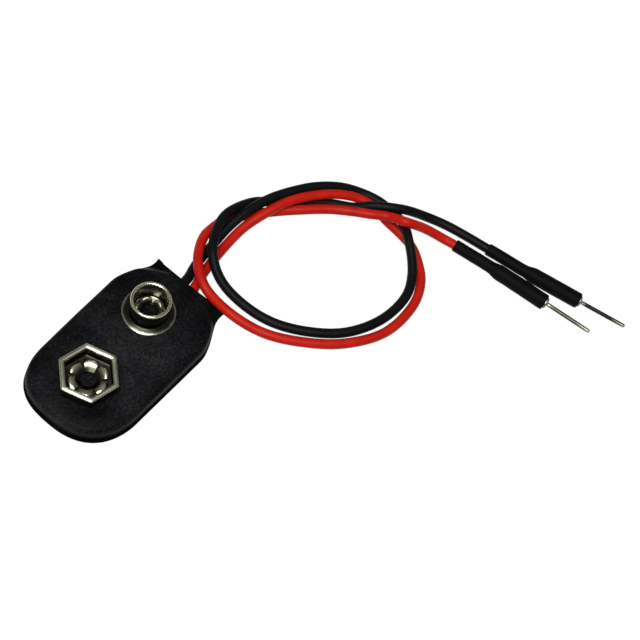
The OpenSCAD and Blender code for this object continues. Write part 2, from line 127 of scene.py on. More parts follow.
# Camera at the photograph's place
scene = bpy.context.scene
cam_data = bpy.data.cameras.new("camera")
cam_data.lens = 70.3125
cam_data.sensor_width = 36.0
cam_data.clip_start = 0.005
cam_data.clip_end = 100.0
cam = bpy.data.objects.new("camera", cam_data)
scene.collection.objects.link(cam)
cam.location = (-0.062083, -0.0386766, 0.1485488)
cam.rotation_euler = Euler((deg(28.08145), deg(-12.70829), deg(-52.62795)), "XYZ")
scene.camera = cam


# Small helpers
def mix(a, b, k):
    return a + (b - a) * k


def ease(k):
    k = min(1.0, max(0.0, k))
    return k * k * (3 - 2 * k)


def along(base, turn, s):
    """A place at a distance from another, in a direction on the table."""
    return base[0] + s * math.cos(turn), base[1] + s * math.sin(turn)


def arc(cx, cz, r, start, end, n):
    """Points on an arc of a profile, angles in degrees."""
    angles = [deg(mix(start, end, k / n)) for k in range(n + 1)]
    return [(cx + r * math.cos(a), cz + r * math.sin(a)) for a in angles]


def new_object(name, data):
    obj = bpy.data.objects.new(name, data)
    scene.collection.objects.link(obj)
    return obj


def mesh_piece(name, verts, faces, mat, sharp):
    """A piece from vertices in millimetres, smooth, with edges over the angle sharp kept crisp."""
    mesh = bpy.data.meshes.new(name)
    mesh.from_pydata([(x * MM, y * MM, z * MM) for x, y, z in verts], [], faces)
    bm = bmesh.new()
    bm.from_mesh(mesh)
    bmesh.ops.remove_doubles(bm, verts=bm.verts, dist=2e-7)
    bmesh.ops.dissolve_degenerate(bm, dist=1e-8, edges=bm.edges)
    bmesh.ops.recalc_face_normals(bm, faces=bm.faces)
    for f in bm.faces:
        f.smooth = True
    for e in bm.edges:
        if len(e.link_faces) == 2 and e.calc_face_angle(0.0) > deg(sharp):
            e.smooth = False
    bm.to_mesh(mesh)
    bm.free()
    mesh.materials.append(mat)
    return new_object(name, mesh)


def grid_faces(rows, cols, close_cols=False, first=0):
    """Quads between rows of points that follow each other, from the vertex first on."""
    out = []
    for r in range(rows - 1):
        for c in range(cols if close_cols else cols - 1):
            a, b = first + r * cols, first + (r + 1) * cols
            d = (c + 1) % cols
            out.append((a + c, a + d, b + d, b + c))
    return out


# Materials, all from nodes
NOISE_LOW, NOISE_HIGH = 0.3, 0.7


def feed(tree, socket, value):
    """Links a value that is another node's socket, or sets one that is a number."""
    if isinstance(value, bpy.types.NodeSocket):
        tree.links.new(value, socket)
    else:
        socket.default_value = value


def math_node(tree, op, a, b):
    n = tree.nodes.new("ShaderNodeMath")
    n.operation = op
    feed(tree, n.inputs[0], a)
    feed(tree, n.inputs[1], b)
    return n.outputs[0]


class Mat:
    """A material whose nodes work in the millimetres of the piece's own frame."""

    def __init__(self, name, **constants):
        self.mat = bpy.data.materials.new(name)
        self.mat.use_nodes = True
        self.tree = self.mat.node_tree
        self.bsdf = self.tree.nodes["Principled BSDF"]
        for key, value in constants.items():
            self.bsdf.inputs[key.replace("_", " ")].default_value = value
        coord = self.tree.nodes.new("ShaderNodeTexCoord")
        scaled = self.add("ShaderNodeMapping", Vector=coord.outputs["Object"], Scale=(1 / MM,) * 3)
        self.place = scaled.outputs["Vector"]

    def add(self, kind, **inputs):
        """A new node, its inputs given as numbers or as other nodes' sockets."""
        n = self.tree.nodes.new(kind)
        for key, value in inputs.items():
            feed(self.tree, n.inputs[key.replace("_", " ")], value)
        return n

    def into(self, socket, name):
        self.tree.links.new(socket, self.bsdf.inputs[name])

    def math(self, op, a, b):
        return math_node(self.tree, op, a, b)

    def weigh(self, *terms):
        """The sum of sockets, each times its weight."""
        total = None
        for socket, weight in terms:
            part = self.math("MULTIPLY", socket, weight)
            total = part if total is None else self.math("ADD", total, part)
        return total

    def noise(self, scale, detail, rough=0.5, stretch=None):
        place = self.place
        if stretch:
            place = self.add("ShaderNodeMapping", Vector=place, Scale=stretch).outputs["Vector"]
        n = self.add("ShaderNodeTexNoise", Vector=place, Scale=scale, Detail=detail, Roughness=rough)
        return n.outputs["Fac"]

    def cells(self, scale):
        n = self.add("ShaderNodeTexVoronoi", Vector=self.place, Scale=scale)
        n.feature = "SMOOTH_F1"
        return n.outputs["Distance"]

    def height(self, low, high):
        """0 to 1 between two heights of the piece, in millimetres."""
        z = self.add("ShaderNodeSeparateXYZ", Vector=self.place).outputs["Z"]
        return self.add("ShaderNodeMapRange", Value=z, From_Min=low, From_Max=high).outputs["Result"]

    def spot(self, x, y, rx, ry):
        """1 in the middle of an oval seen from above, fading to 0 at its edge, in millimetres."""
        m = self.add("ShaderNodeMapping", Vector=self.place, Location=(-x / rx, -y / ry, 0.0),
                     Scale=(1 / rx, 1 / ry, 0.0))
        n = self.add("ShaderNodeTexGradient", Vector=m.outputs["Vector"])
        n.gradient_type = "SPHERICAL"
        return n.outputs["Fac"]

    def ramp(self, fac, stops):
        """Base colour from a list of positions and colours."""
        n = self.add("ShaderNodeValToRGB", Fac=fac)
        els = n.color_ramp.elements
        els[0].position, els[0].color = stops[0][0], (*stops[0][1], 1)
        els[1].position, els[1].color = stops[-1][0], (*stops[-1][1], 1)
        for position, colour in stops[1:-1]:
            els.new(position).color = (*colour, 1)
        self.into(n.outputs["Color"], "Base Color")

    def rough(self, fac, lo, hi):
        """Roughness from lo to hi over the span that most of a noise lies in."""
        n = self.add("ShaderNodeMapRange", Value=fac, From_Min=NOISE_LOW, From_Max=NOISE_HIGH,
                     To_Min=lo, To_Max=hi)
        self.into(n.outputs["Result"], "Roughness")

    def bump(self, height, strength, depth_mm):
        n = self.add("ShaderNodeBump", Height=height, Strength=strength, Distance=depth_mm * MM)
        self.into(n.outputs["Normal"], "Normal")


def tinted(stops, tint):
    """Stops of brightness as stops of one tint."""
    return [(k, tuple(v * t for t in tint)) for k, v in stops]


def vinyl():
    """Grained vinyl, dull low on its wall, with painted sheen as lighter patches on top and a painted
    highlight along the rounded end's shoulder.
    """
    m = Mat("vinyl")
    m.into(m.math("MULTIPLY", m.height(1.5, 2.9), 0.05), "Specular IOR Level")
    pebble = m.cells(3.4)
    fine = m.noise(2.8, 4.0, 0.65)
    broad = m.noise(0.22, 2.0)
    # Painted sheen: a lighter patch in the middle of the top and one beside the socket
    middle = m.spot(-0.8, -1.3, 9.5, 7.5)
    painted_sheen_by_socket = m.spot(-9.5, 4.3, 6.0, 5.0)
    # Painted highlight along the rounded end's shoulder, a band by height kept to an oval at the end
    shoulder = m.math("MULTIPLY", m.height(2.0, 2.6), m.height(3.08, 2.8))
    painted_highlight = m.math("MULTIPLY", shoulder, m.spot(-12.5, -2.0, 9.0, 9.0))
    m.ramp(m.weigh((broad, 0.4), (fine, 0.6), (middle, 0.20), (painted_sheen_by_socket, 0.10), (painted_highlight, 0.18)), [
        (0.38, (0.0010, 0.0011, 0.0014)),
        (0.50, (0.0026, 0.0028, 0.0033)),
        (0.60, (0.0076, 0.0079, 0.0087)),
        (0.72, (0.0190, 0.0194, 0.0204)),
    ])
    m.rough(m.weigh((fine, 0.5), (broad, 0.5)), 0.38, 0.54)
    m.bump(m.weigh((fine, 0.5), (pebble, -1.0)), 0.55, 0.05)
    return m.mat


def nickel(name, low, high, stops, rough_lo, rough_hi, bowl=None, highlight_ovals=()):
    """Nickel plating, with light and shade painted as its brightness by height from low to high.

    With a bowl, the stops up to 0.5 are for the outside and the rest for the inside of that oval, so
    inside and outside get their own painted light and shade.
    With highlight ovals, the stops up to 0.75 are for the plain metal and the rest for painted highlights
    on the rim inside those ovals.
    """
    m = Mat(name, Metallic=1.0)
    cloud = m.noise(0.9, 4.0, 0.6)
    drawn = m.noise(6.0, 3.0, 0.6, (1.0, 1.0, 0.25))
    drift = m.math("MULTIPLY", m.math("SUBTRACT", cloud, 0.5), 0.06)
    level = m.math("ADD", m.height(low, high), drift)
    if bowl:
        inside = m.math("GREATER_THAN", m.spot(*bowl), 0.0)
        level = m.weigh((level, 0.499), (inside, 0.501))
    # Painted highlights on the rim where the ovals lie
    if highlight_ovals:
        rim = m.height(high - 0.4, high - 0.25)
        painted_highlight = [m.math("MULTIPLY", m.spot(*oval), rim) for oval in highlight_ovals]
        level = m.weigh((level, 0.75), *((w, 0.5) for w in painted_highlight))
    m.ramp(level, tinted(stops, (1.0, 0.985, 0.74)))
    m.rough(m.weigh((cloud, 0.6), (drawn, 0.4)), rough_lo, rough_hi)
    m.bump(drawn, 0.05, 0.004)
    return m.mat


def pvc(name, dark, light, rough_lo, rough_hi, shine):
    """Soft insulation with a faintly uneven skin."""
    m = Mat(name, Specular_IOR_Level=shine)
    broad = m.noise(0.35, 3.0)
    skin = m.noise(5.0, 4.0, 0.6)
    m.ramp(m.weigh((broad, 0.65), (skin, 0.35)), [(0.35, dark), (0.65, light)])
    m.rough(skin, rough_lo, rough_hi)
    m.bump(m.weigh((broad, 0.6), (skin, 0.4)), 0.25, 0.03)
    return m.mat


def shrink():
    """Dull black shrunk tube."""
    m = Mat("shrink_sleeve", Specular_IOR_Level=0.05)
    lumps = m.noise(0.8, 2.0)
    skin = m.noise(8.0, 4.0, 0.65)
    m.ramp(m.weigh((lumps, 0.5), (skin, 0.5)), [
        (0.35, (0.0015, 0.0015, 0.0018)),
        (0.68, (0.0038, 0.0038, 0.0041)),
    ])
    m.rough(skin, 0.50, 0.68)
    m.bump(m.weigh((lumps, 0.8), (skin, 0.2)), 0.4, 0.06)
    return m.mat


def fibre():
    """Brown fibre board."""
    m = Mat("fibre_board")
    strands = m.noise(3.0, 4.0, 0.6, (0.25, 2.0, 1.0))
    m.ramp(strands, [(0.3, (0.07, 0.034, 0.016)), (0.7, (0.17, 0.09, 0.045))])
    m.rough(strands, 0.6, 0.8)
    m.bump(strands, 0.3, 0.03)
    return m.mat


def metal(name, dark, light, rough_lo, rough_hi, grain):
    """Plain mottled metal of the pieces inside."""
    m = Mat(name, Metallic=1.0)
    mottle = m.noise(grain, 4.0, 0.6)
    m.ramp(mottle, [(0.3, dark), (0.7, light)])
    m.rough(mottle, rough_lo, rough_hi)
    m.bump(mottle, 0.1, 0.01)
    return m.mat


def pin_metal(name, base, turn, lo, hi):
    """Tin plating, with a painted glint at the nose in the sleeve's mouth and a painted highlight at the
    tip, duller on the shaft.
    """
    m = Mat(name, Metallic=1.0)
    mottle = m.noise(1.4, 4.0, 0.6)
    nose_r, tip_r = 1.1, 2.4
    # Painted glint on the nose and painted highlight near the tip, as ovals of brightness
    nose = m.spot(*along(base, turn, NOSE_AT + 0.15), nose_r, nose_r)
    tip = m.spot(*along(base, turn, NOSE_AT + 7.5), tip_r, tip_r)
    m.ramp(m.weigh((mottle, 0.25), (nose, 0.9), (tip, 0.6)), tinted(
        [(0.09, lo), (0.17, hi), (0.45, 0.16), (0.85, 0.5)], (1.0, 0.96, 0.74)))
    m.rough(mottle, 0.22, 0.36)
    m.bump(mottle, 0.1, 0.01)
    return m.mat


# Ovals on the contacts: two painted highlights on the hexagon's rim, and the bowl inside the stud
HIGHLIGHT_X, HIGHLIGHT_Y, HIGHLIGHT_RX, HIGHLIGHT_RY = 3.12, 0.92, 1.5, 2.5
BOWL_R = 2.46

VINYL = vinyl()
# Socket cup: painted shade on the lower cup and its floor, painted highlight brightening up the rolled rim
# to its top
SOCKET_NICKEL = nickel(
    "nickel_socket", TOP_Z, TOP_Z + SOCKET_H,
    [(0.0, 0.2), (0.045, 0.03), (0.525, 0.05), (0.63, 0.30), (0.76, 0.38), (0.95, 0.9)], 0.32, 0.42,
    highlight_ovals=[(SOCKET[0] + side * HIGHLIGHT_X, SOCKET[1] + side * HIGHLIGHT_Y, HIGHLIGHT_RX, HIGHLIGHT_RY) for side in (-1, 1)])
# Stud: a painted highlight at the flange's edge, painted shade on the flange's slope and outer wall, a
# painted highlight on the rolled lip, and the bowl painted lighter towards the lip
STUD_NICKEL = nickel(
    "nickel_stud", TOP_Z, TOP_Z + STUD_H,
    [(0.0, 0.6), (0.030, 0.6), (0.040, 0.34), (0.046, 0.06), (0.056, 0.035), (0.07, 0.03),  # flange
     (0.42, 0.07), (0.46, 0.55), (0.499, 0.66),  # wall and lip
     (0.502, 0.22), (0.93, 0.36), (0.965, 0.60), (1.0, 0.70)], 0.18, 0.26,  # inside the bowl
    bowl=(*STUD, BOWL_R, BOWL_R))
# Rivets: painted shade low in the bore, painted highlights on the petals' crests
SOCKET_RIVET = nickel(
    "nickel_socket_rivet", FLOOR_Z - 0.1, FLOOR_Z + 0.65,
    [(0.0, 0.02), (0.5, 0.05), (0.8, 0.28), (1.0, 0.8)], 0.16, 0.26)
STUD_RIVET = nickel(
    "nickel_stud_rivet", FLOOR_Z - 0.1, FLOOR_Z + 0.6,
    [(0.0, 0.02), (0.4, 0.06), (0.8, 0.22), (1.0, 0.42)], 0.24, 0.36)
RED = pvc("red_pvc", (0.36, 0.0056, 0.0026), (0.50, 0.0125, 0.0044), 0.36, 0.50, 0.12)
BLACK = pvc("black_pvc", (0.0022, 0.0022, 0.0025), (0.0046, 0.0046, 0.0049), 0.40, 0.56, 0.09)
SLEEVE = shrink()
# Both pins are the same tin; the red one is painted lighter and the black one darker, as a lit and a
# shaded copy
RED_PIN = pin_metal("tinned_red_pin", RED_BASE, RED_TURN, 0.048, 0.080)
BLACK_PIN = pin_metal("tinned_black_pin", BLACK_BASE, BLACK_TURN, 0.012, 0.026)
FIBRE = fibre()
BRASS = metal("brass_tag", (0.46, 0.32, 0.11), (0.66, 0.50, 0.22), 0.25, 0.45, 1.2)
SOLDER = metal("solder", (0.48, 0.48, 0.50), (0.66, 0.66, 0.68), 0.30, 0.50, 1.8)
COPPER = metal("copper_strands", (0.52, 0.25, 0.13), (0.74, 0.40, 0.24), 0.25, 0.45, 2.4)
TINNED = metal("tinned_strands", (0.55, 0.54, 0.52), (0.72, 0.71, 0.69), 0.30, 0.50, 2.4)


# Leads: one smooth spline through the route's points
def route_handles(p, i):
    """Handles of a point of a smooth spline that passes through all the points."""
    if i == 0:
        step = (p[1] - p[0]) / 3
        return p[0] - step, p[0] + step
    if i == len(p) - 1:
        step = (p[i - 1] - p[i]) / 3
        return p[i] + step, p[i] - step
    before, here, after = p[i - 1], p[i], p[i + 1]
    d1 = math.sqrt((here - before).length)
    d2 = math.sqrt((after - here).length)
    s1, s2, cross = d1 * d1, d2 * d2, 3 * d1 * d2
    ahead = (s1 * after - s2 * before + (2 * s1 + cross + s2) * here) / (3 * d1 * (d1 + d2))
    behind = (s2 * before - s1 * after + (2 * s2 + cross + s1) * here) / (3 * d2 * (d1 + d2))
    return behind, ahead


def lead(name, route, mat):
    """The lead's curve and its length in metres."""
    p = [Vector(q) for q in route]
    hands = [route_handles(p, i) for i in range(len(p))]
    curve = bpy.data.curves.new(name, "CURVE")
    curve.dimensions = "3D"
    curve.resolution_u = 14
    curve.bevel_depth = LEAD_D / 2 * MM
    curve.bevel_resolution = 7
    curve.use_fill_caps = True
    spline = curve.splines.new("BEZIER")
    spline.bezier_points.add(len(p) - 1)
    for b, q, (left, right) in zip(spline.bezier_points, p, hands):
        b.handle_left_type = b.handle_right_type = "FREE"
        b.co, b.handle_left, b.handle_right = q, left, right
    curve.materials.append(mat)
    steps = 24
    length = 0.0
    for i in range(len(p) - 1):
        a, b, c, d = p[i], hands[i][1], hands[i + 1][0], p[i + 1]
        last = a
        for s in range(1, steps + 1):
            k = s / steps
            m = 1 - k
            q = a * m ** 3 + 3 * b * k * m ** 2 + 3 * c * k * k * m + d * k ** 3
            length += (q - last).length
            last = q
    return new_object(name, curve), length


red_lead, red_length = lead("red_lead_insulation", RED_ROUTE, RED)
black_lead, black_length = lead("black_lead_insulation", BLACK_ROUTE, BLACK)

# Cover: rings of points that start and end at the mouth, closer together near it
SIDE_STEPS, SIDE_CROWD, TAIL_STEPS = 64, 1.25, 72
SIDE_XS = [mix(END_X, TAIL_X, (i / SIDE_STEPS) ** SIDE_CROWD) for i in range(SIDE_STEPS + 1)]
TAIL_AS = [deg(90 + 180 * i / TAIL_STEPS) for i in range(1, TAIL_STEPS)]
RIM_ROWS, TOP_ROWS, BACK_ROWS, FOOT_ROWS, LIP_POINTS = 16, 30, 24, 8, 14
RIM_TURN, FOOT_R = deg(80), 0.3

# How the soft sheet departs from the solid
FAR_SLACK, FAR_SLACK_END, NEAR_SLACK, LOW_SLACK, TAIL_TRIM = 0.1, -0.02, 0.17, 0.15, 0.12
FAR_X, FAR_RUN, FADE_X, FADE_RUN = TAIL_X + 3, 10, 9.0, 4.0
PUFF_H, PUFF_IN, SOCKET_CLAMP, STUD_CLAMP, CLAMP_RUN = 0.2, 2.2, 3.5, 3.4, 2.3
TIP_RUN, TIP_L, TIP_Y, TIP_SOFT = 1.8, 0.74, 4.45, 0.4
CUT_BACK, CUT_WAVE, CUT_RATE, CUT_START = 0.25, 0.07, 1.9, 0.7
WAVE_H, WAVE_STEP = 0.02, 0.35


def half_w(x):
    """Half the cover's width at a place along it."""
    if x < TAIL_X:
        return math.sqrt(max(0.0, TAIL_R ** 2 - (x - TAIL_X) ** 2))
    if x < SIDE_X:
        return mix(TAIL_R, COVER_W / 2, (x - TAIL_X) / (SIDE_X - TAIL_X))
    flare = EAR_FLARE * max(0.0, (x - END_X + EAR_L) / EAR_L) ** 2
    narrow = ease((x - SIDE_X) / (END_X + EAR_PAST - SIDE_X))
    return mix(COVER_W / 2, MOUTH_W / 2, narrow) + flare


def drawn_down(x):
    """0 over the pad to 1 at the flat mouth."""
    return ease((x - RAMP_X) / (END_X - RAMP_X))


def ring_in(t, x):
    """How far inside the outline the rim lies at its share t, from the wall to the top."""
    pad = WALL_IN + EDGE_R * (1 - math.cos(RIM_TURN * t))
    return mix(pad, (MOUTH_W / 2 - MOUTH_FLAT) * t, drawn_down(x))


def ring_z(t, x):
    """Height of the rim at its share t."""
    pad = TOP_Z - EDGE_R + EDGE_R * math.sin(RIM_TURN * t)
    return mix(pad, mix(2 * SHEET_T, MOUTH_ROOF, ease(t)), drawn_down(x))


def slack(x, far):
    """How much the soft edge stands out past its cut shape along either side."""
    out = mix(FAR_SLACK, FAR_SLACK_END, ease((x - FAR_X) / FAR_RUN)) if far else NEAR_SLACK
    return out * (1 - ease((x - FADE_X) / FADE_RUN))


def tail_r(a):
    """Radius of the rounded end's soft edge, fuller than a true round, by the direction."""
    b = a - math.pi / 2
    full = (TAIL_FULL if a < math.pi else TAIL_FULL_LOW + LOW_SLACK) * math.sin(2 * b) ** 2
    return TAIL_R + full + mix(FAR_SLACK, NEAR_SLACK, b / math.pi) - TAIL_TRIM * math.sin(b) ** 2


def loop_points(inset, z, dip=0.0):
    """One ring of the cover, from one corner of the mouth round the rounded end to the other."""
    sides = [(x, dip * ease((x - END_X + EAR_L) / EAR_L)) for x in SIDE_XS]
    pts = [(x - back, half_w(x) + slack(x, True) - inset(x), z(x)) for x, back in sides]
    for a in TAIL_AS:
        r = tail_r(a) - inset(TAIL_X)
        pts.append((TAIL_X + r * math.cos(a), r * math.sin(a), z(TAIL_X)))
    pts += [(x - back, inset(x) - half_w(x) - slack(x, False), z(x)) for x, back in reversed(sides)]
    return pts


def inward(point, k):
    """A ring's point, drawn by the share k towards the cover's middle line."""
    x, y, z = point
    return mix(x, max(x, TAIL_X), k), mix(y, 0.0, k), z


def puff(x, y, depth):
    """How much the soft sheet stands up between the contacts that clamp it, by depth from the rim."""
    from_socket = math.hypot(x - SOCKET[0], y - SOCKET[1])
    from_stud = math.hypot(x - STUD[0], y - STUD[1])
    free = ease((from_socket - SOCKET_CLAMP) / CLAMP_RUN) * ease((from_stud - STUD_CLAMP) / CLAMP_RUN)
    return PUFF_H * free * (1 - (1 - min(1.0, depth / PUFF_IN)) ** 2) * (1 - drawn_down(x))


def ear(x, y):
    """Small forward tips at both corners of the mouth, and a slightly wavy cut between them."""
    near = ease((x - END_X + TIP_RUN) / TIP_RUN)
    tip = TIP_L * ease((abs(y) - TIP_Y) / TIP_SOFT)
    return near * (tip + CUT_WAVE * math.sin(CUT_RATE * y + CUT_START) - CUT_BACK)


def mouth_sides(rows, n):
    """The two ends of all the rings, up one corner of the mouth and down the other."""
    return [r * n for r in range(rows)] + [r * n + n - 1 for r in reversed(range(rows - 1))]


def front_cover():
    """Formed sheet: a seam, a rounded rim and a puffed top, drawn down to the flat mouth."""
    rows = [loop_points(lambda x: 0.0, lambda x: SHEET_T)]
    for k in range(RIM_ROWS + 1):
        t = k / RIM_ROWS
        dip = MOUTH_DIP * ease(2 * t)
        rows.append(loop_points(lambda x: ring_in(t, x), lambda x: ring_z(t, x), dip))
    edge = rows[-1]
    for j in range(1, TOP_ROWS + 1):
        row = []
        for point in edge:
            x, y, z = inward(point, j / TOP_ROWS)
            row.append((x, y, z + puff(x, y, math.hypot(x - point[0], y - point[1]))))
        rows.append(row)
    n = len(edge)
    verts = []
    for row in rows:
        for x, y, z in row:
            wave = WAVE_H * noise.noise(Vector((x * WAVE_STEP, y * WAVE_STEP, z * WAVE_STEP)))
            above_seam = z > SHEET_T + 0.01
            verts.append((x + ear(x, y), y, z + (wave if above_seam else 0.0)))
    faces = grid_faces(len(rows), n)

    # End face at the mouth, with the passage that the leads leave by
    lip_y, lip_gap, inner_x = 5.8, 0.25, RAMP_X - 1.0
    base = len(verts)
    opening = ((PASS_LOW, SHEET_T), (PASS_LOW, BOARD_Z), (PASS_HIGH, BOARD_Z), (PASS_HIGH, SHEET_T))
    verts += [(END_X + ear(END_X, y), y, z) for y, z in opening]
    verts += [(inner_x, y, z) for y, z in opening]
    passage = [base, base + 1, base + 2, base + 3]
    lips = []
    for start, end in ((-lip_y, PASS_LOW - lip_gap), (PASS_HIGH + lip_gap, lip_y)):
        lips.append([len(verts) + i for i in range(LIP_POINTS)])
        for i in range(LIP_POINTS):
            y = mix(start, end, i / (LIP_POINTS - 1))
            verts.append((END_X + ear(END_X, y), y, SHEET_T))
    faces.append(tuple(mouth_sides(len(rows), n) + lips[0] + passage + lips[1]))
    faces += [(base + c, base + c + 1, base + 5 + c, base + 4 + c) for c in range(3)]
    return mesh_piece("front_cover_skin", verts, faces, VINYL, 42)


def back_cover():
    """Flat sheet with a rounded lower edge, and a lid inside the seam."""
    lid = loop_points(lambda x: SEAM_IN, lambda x: SHEET_T)
    rows = [lid]
    for k in range(1, FOOT_ROWS + 1):
        a = deg(90 * k / FOOT_ROWS)
        rows.append(loop_points(lambda x: SEAM_IN + FOOT_R * (1 - math.cos(a)),
                                lambda x: FOOT_R - FOOT_R * math.sin(a)))
    edge = rows[-1]
    for j in range(1, BACK_ROWS + 1):
        rows.append([inward(point, j / BACK_ROWS) for point in edge])
    n, sheet_rows = len(edge), len(rows)
    top = sheet_rows * n
    rows += [[inward(point, j / BACK_ROWS) for point in lid] for j in range(BACK_ROWS + 1)]
    verts = [(x + ear(x, y), y, z) for row in rows for x, y, z in row]
    faces = grid_faces(sheet_rows, n) + grid_faces(BACK_ROWS + 1, n, first=top)
    upper = [top + r * n + n - 1 for r in range(1, BACK_ROWS + 1)]
    upper += [top + r * n for r in reversed(range(1, BACK_ROWS))]
    faces.append(tuple(mouth_sides(sheet_rows, n) + upper))
    return mesh_piece("back_cover_sheet", verts, faces, VINYL, 42)


front = front_cover()
back = back_cover()


# Contacts
def hexagon(a):
    """Rounded hexagon round the socket's axis by the distance to its flats, with points along them too."""
    bends, flat = 6, 4
    reach = (a - HEX_CORNER) / math.cos(deg(30))
    pts = []
    for c in range(6):
        turn = SOCKET_YAW + deg(60 * c)
        middle = along(SOCKET, turn, reach)
        pts += [along(middle, turn + deg(60 * s / bends - 30), HEX_CORNER) for s in range(bends + 1)]
    out = []
    for i, p in enumerate(pts):
        out.append(p)
        q = pts[(i + 1) % len(pts)]
        if i % (bends + 1) == bends:
            out += [(mix(p[0], q[0], k / flat), mix(p[1], q[1], k / flat)) for k in range(1, flat)]
    return out


def socket_contact():
    """Pressed hexagonal cup with a rolled rim that is a little flat on top, round at the rivet."""
    rim_top, rim_foot, bend_r, least_hexagon, spread_a = 0.2, 1.72, 0.25, 1.6, 3.0
    rows = [(HOLE_R, FLOOR_T), (HOLE_R, 0.0), (WALL_OUT - 0.03, 0.0)]
    rows += [(WALL_OUT, 0.05), (WALL_OUT, 0.9), (WALL_OUT, rim_foot)]
    for a in range(-58, 241, 7):
        rise = rim_top if 0 < a < 180 else RIM_R
        rows.append((RIM_A + RIM_R * math.cos(deg(a)), SOCKET_H - rim_top + rise * math.sin(deg(a))))
    rows += [(WALL_INN, rim_foot), (WALL_INN, 0.85)]
    rows += arc(WALL_INN - bend_r, FLOOR_T + bend_r, bend_r, 0, -90, 3)
    rows += [(2.2, FLOOR_T), (HOLE_R, FLOOR_T)]
    angles = [math.atan2(y - SOCKET[1], x - SOCKET[0]) for x, y in hexagon(spread_a)]
    verts = []
    for a, z in rows:
        ring = hexagon(a) if a > least_hexagon else [along(SOCKET, g, a) for g in angles]
        verts += [(x, y, TOP_Z + z) for x, y in ring]
    faces = grid_faces(len(rows), len(angles), close_cols=True)
    return mesh_piece("socket_cup", verts, faces, SOCKET_NICKEL, 50)


def stud_contact():
    """Pressed round stud with a rolled lip, a fillet and a flange that slopes to its edge."""
    lip, edge_r, flange_top, sides = 0.235, 0.13, 0.4, 96
    inner = STUD_R - 2 * lip
    profile = [(HOLE_R, FLOOR_T), (HOLE_R, 0.0)]
    profile += arc(FLANGE_R - edge_r, edge_r, edge_r, -90, 72, 8)
    profile += [(3.4, 0.285), (3.2, 0.345), (3.1, 0.37)]
    profile += arc(STUD_R + FILLET_R, flange_top + FILLET_R, FILLET_R, 262, 180, 8)
    profile += [(STUD_R, 1.5), (STUD_R, 2.4)]
    profile += arc(STUD_R - lip, STUD_H - lip, lip, 0, 180, 16)
    profile += [(inner, 2.4), (inner, 1.4)]
    profile += arc(inner - FILLET_R, FLOOR_T + FILLET_R, FILLET_R, 0, -90, 8)
    profile += [(HOLE_R, FLOOR_T)]
    angles = [2 * math.pi * i / sides for i in range(sides)]
    verts = [(*along(STUD, a, r), TOP_Z + z) for r, z in profile for a in angles]
    return mesh_piece("stud_cup", verts, grid_faces(len(profile), sides, close_cols=True), STUD_NICKEL, 40)


def rivet(name, centre, turn, out_r, up, seed, mat):
    """Tubular rivet: flat head below, a tube, and an end split and curled into six petals."""
    wall = RIVET_R - BORE_R
    curl, curl_rate, uneven, uneven_step = deg(118), 1.15, 0.05, 2.1
    bow_h, tip_in, sunk, edge_r = 0.16, 0.04, 0.02, 0.1
    rows, cols, sides = 18, 10, 60
    n, m = rows + 1, cols + 1
    verts, faces = [], []

    for p in range(6):
        lift = uneven * math.sin(seed + uneven_step * p)
        first = len(verts)
        for under in (0, 1):
            for i in range(n):
                k = i / rows
                r = mix(RIVET_R, out_r - tip_in, k) if under else mix(BORE_R, out_r, k)
                z = FLOOR_Z + (up + lift * k) * math.sin(curl * k ** curl_rate)
                z -= wall * ease(3 * k) if under else 0.0
                cut = SLOT_W / 2 * max(0.0, (r - BORE_R - SLOT_IN) / (out_r - BORE_R))
                gap = math.asin(cut / r)
                lo, hi = turn + math.pi / 3 * p + gap, turn + math.pi / 3 * (p + 1) - gap
                for c in range(m):
                    bow = bow_h * k * (2 * c / cols - 1) ** 2
                    verts.append((*along(centre, mix(lo, hi, c / cols), r), max(z - bow, FLOOR_Z - sunk)))
        below = n * m
        faces += grid_faces(n, m, first=first) + grid_faces(n, m, first=first + below)
        for i in range(rows):
            for c in (0, cols):
                a = first + i * m + c
                faces.append((a, a + m, a + m + below, a + below))
        a = first + rows * m
        faces += [(a + c, a + c + 1, a + c + 1 + below, a + c + below) for c in range(cols)]

    tube = [(BORE_R, FLOOR_Z), (BORE_R, HEAD_Z), (HEAD_R - edge_r, HEAD_Z)]
    tube += arc(HEAD_R - edge_r, HEAD_Z + edge_r, edge_r, -90, 0, 4)
    tube += [(HEAD_R, TAG_Z), (RIVET_R, TAG_Z), (RIVET_R, FLOOR_Z)]
    faces += grid_faces(len(tube), sides, close_cols=True, first=len(verts))
    for r, z in tube:
        verts += [(*along(centre, turn + 2 * math.pi * i / sides, r), z) for i in range(sides)]
    return mesh_piece(name, verts, faces, mat, 45)


SOCKET_PETAL_R, SOCKET_PETAL_H, SOCKET_PETAL_YAW = 2.62, 0.62, deg(62)
STUD_PETAL_R, STUD_PETAL_H, STUD_PETAL_YAW = 1.84, 0.55, deg(20)
socket = socket_contact()
stud = stud_contact()
socket_rivet = rivet("socket_star_rivet", SOCKET, SOCKET_PETAL_YAW, SOCKET_PETAL_R, SOCKET_PETAL_H,
                     seed=0.4, mat=SOCKET_RIVET)
stud_rivet = rivet("stud_star_rivet", STUD, STUD_PETAL_YAW, STUD_PETAL_R, STUD_PETAL_H,
                   seed=1.7, mat=STUD_RIVET)


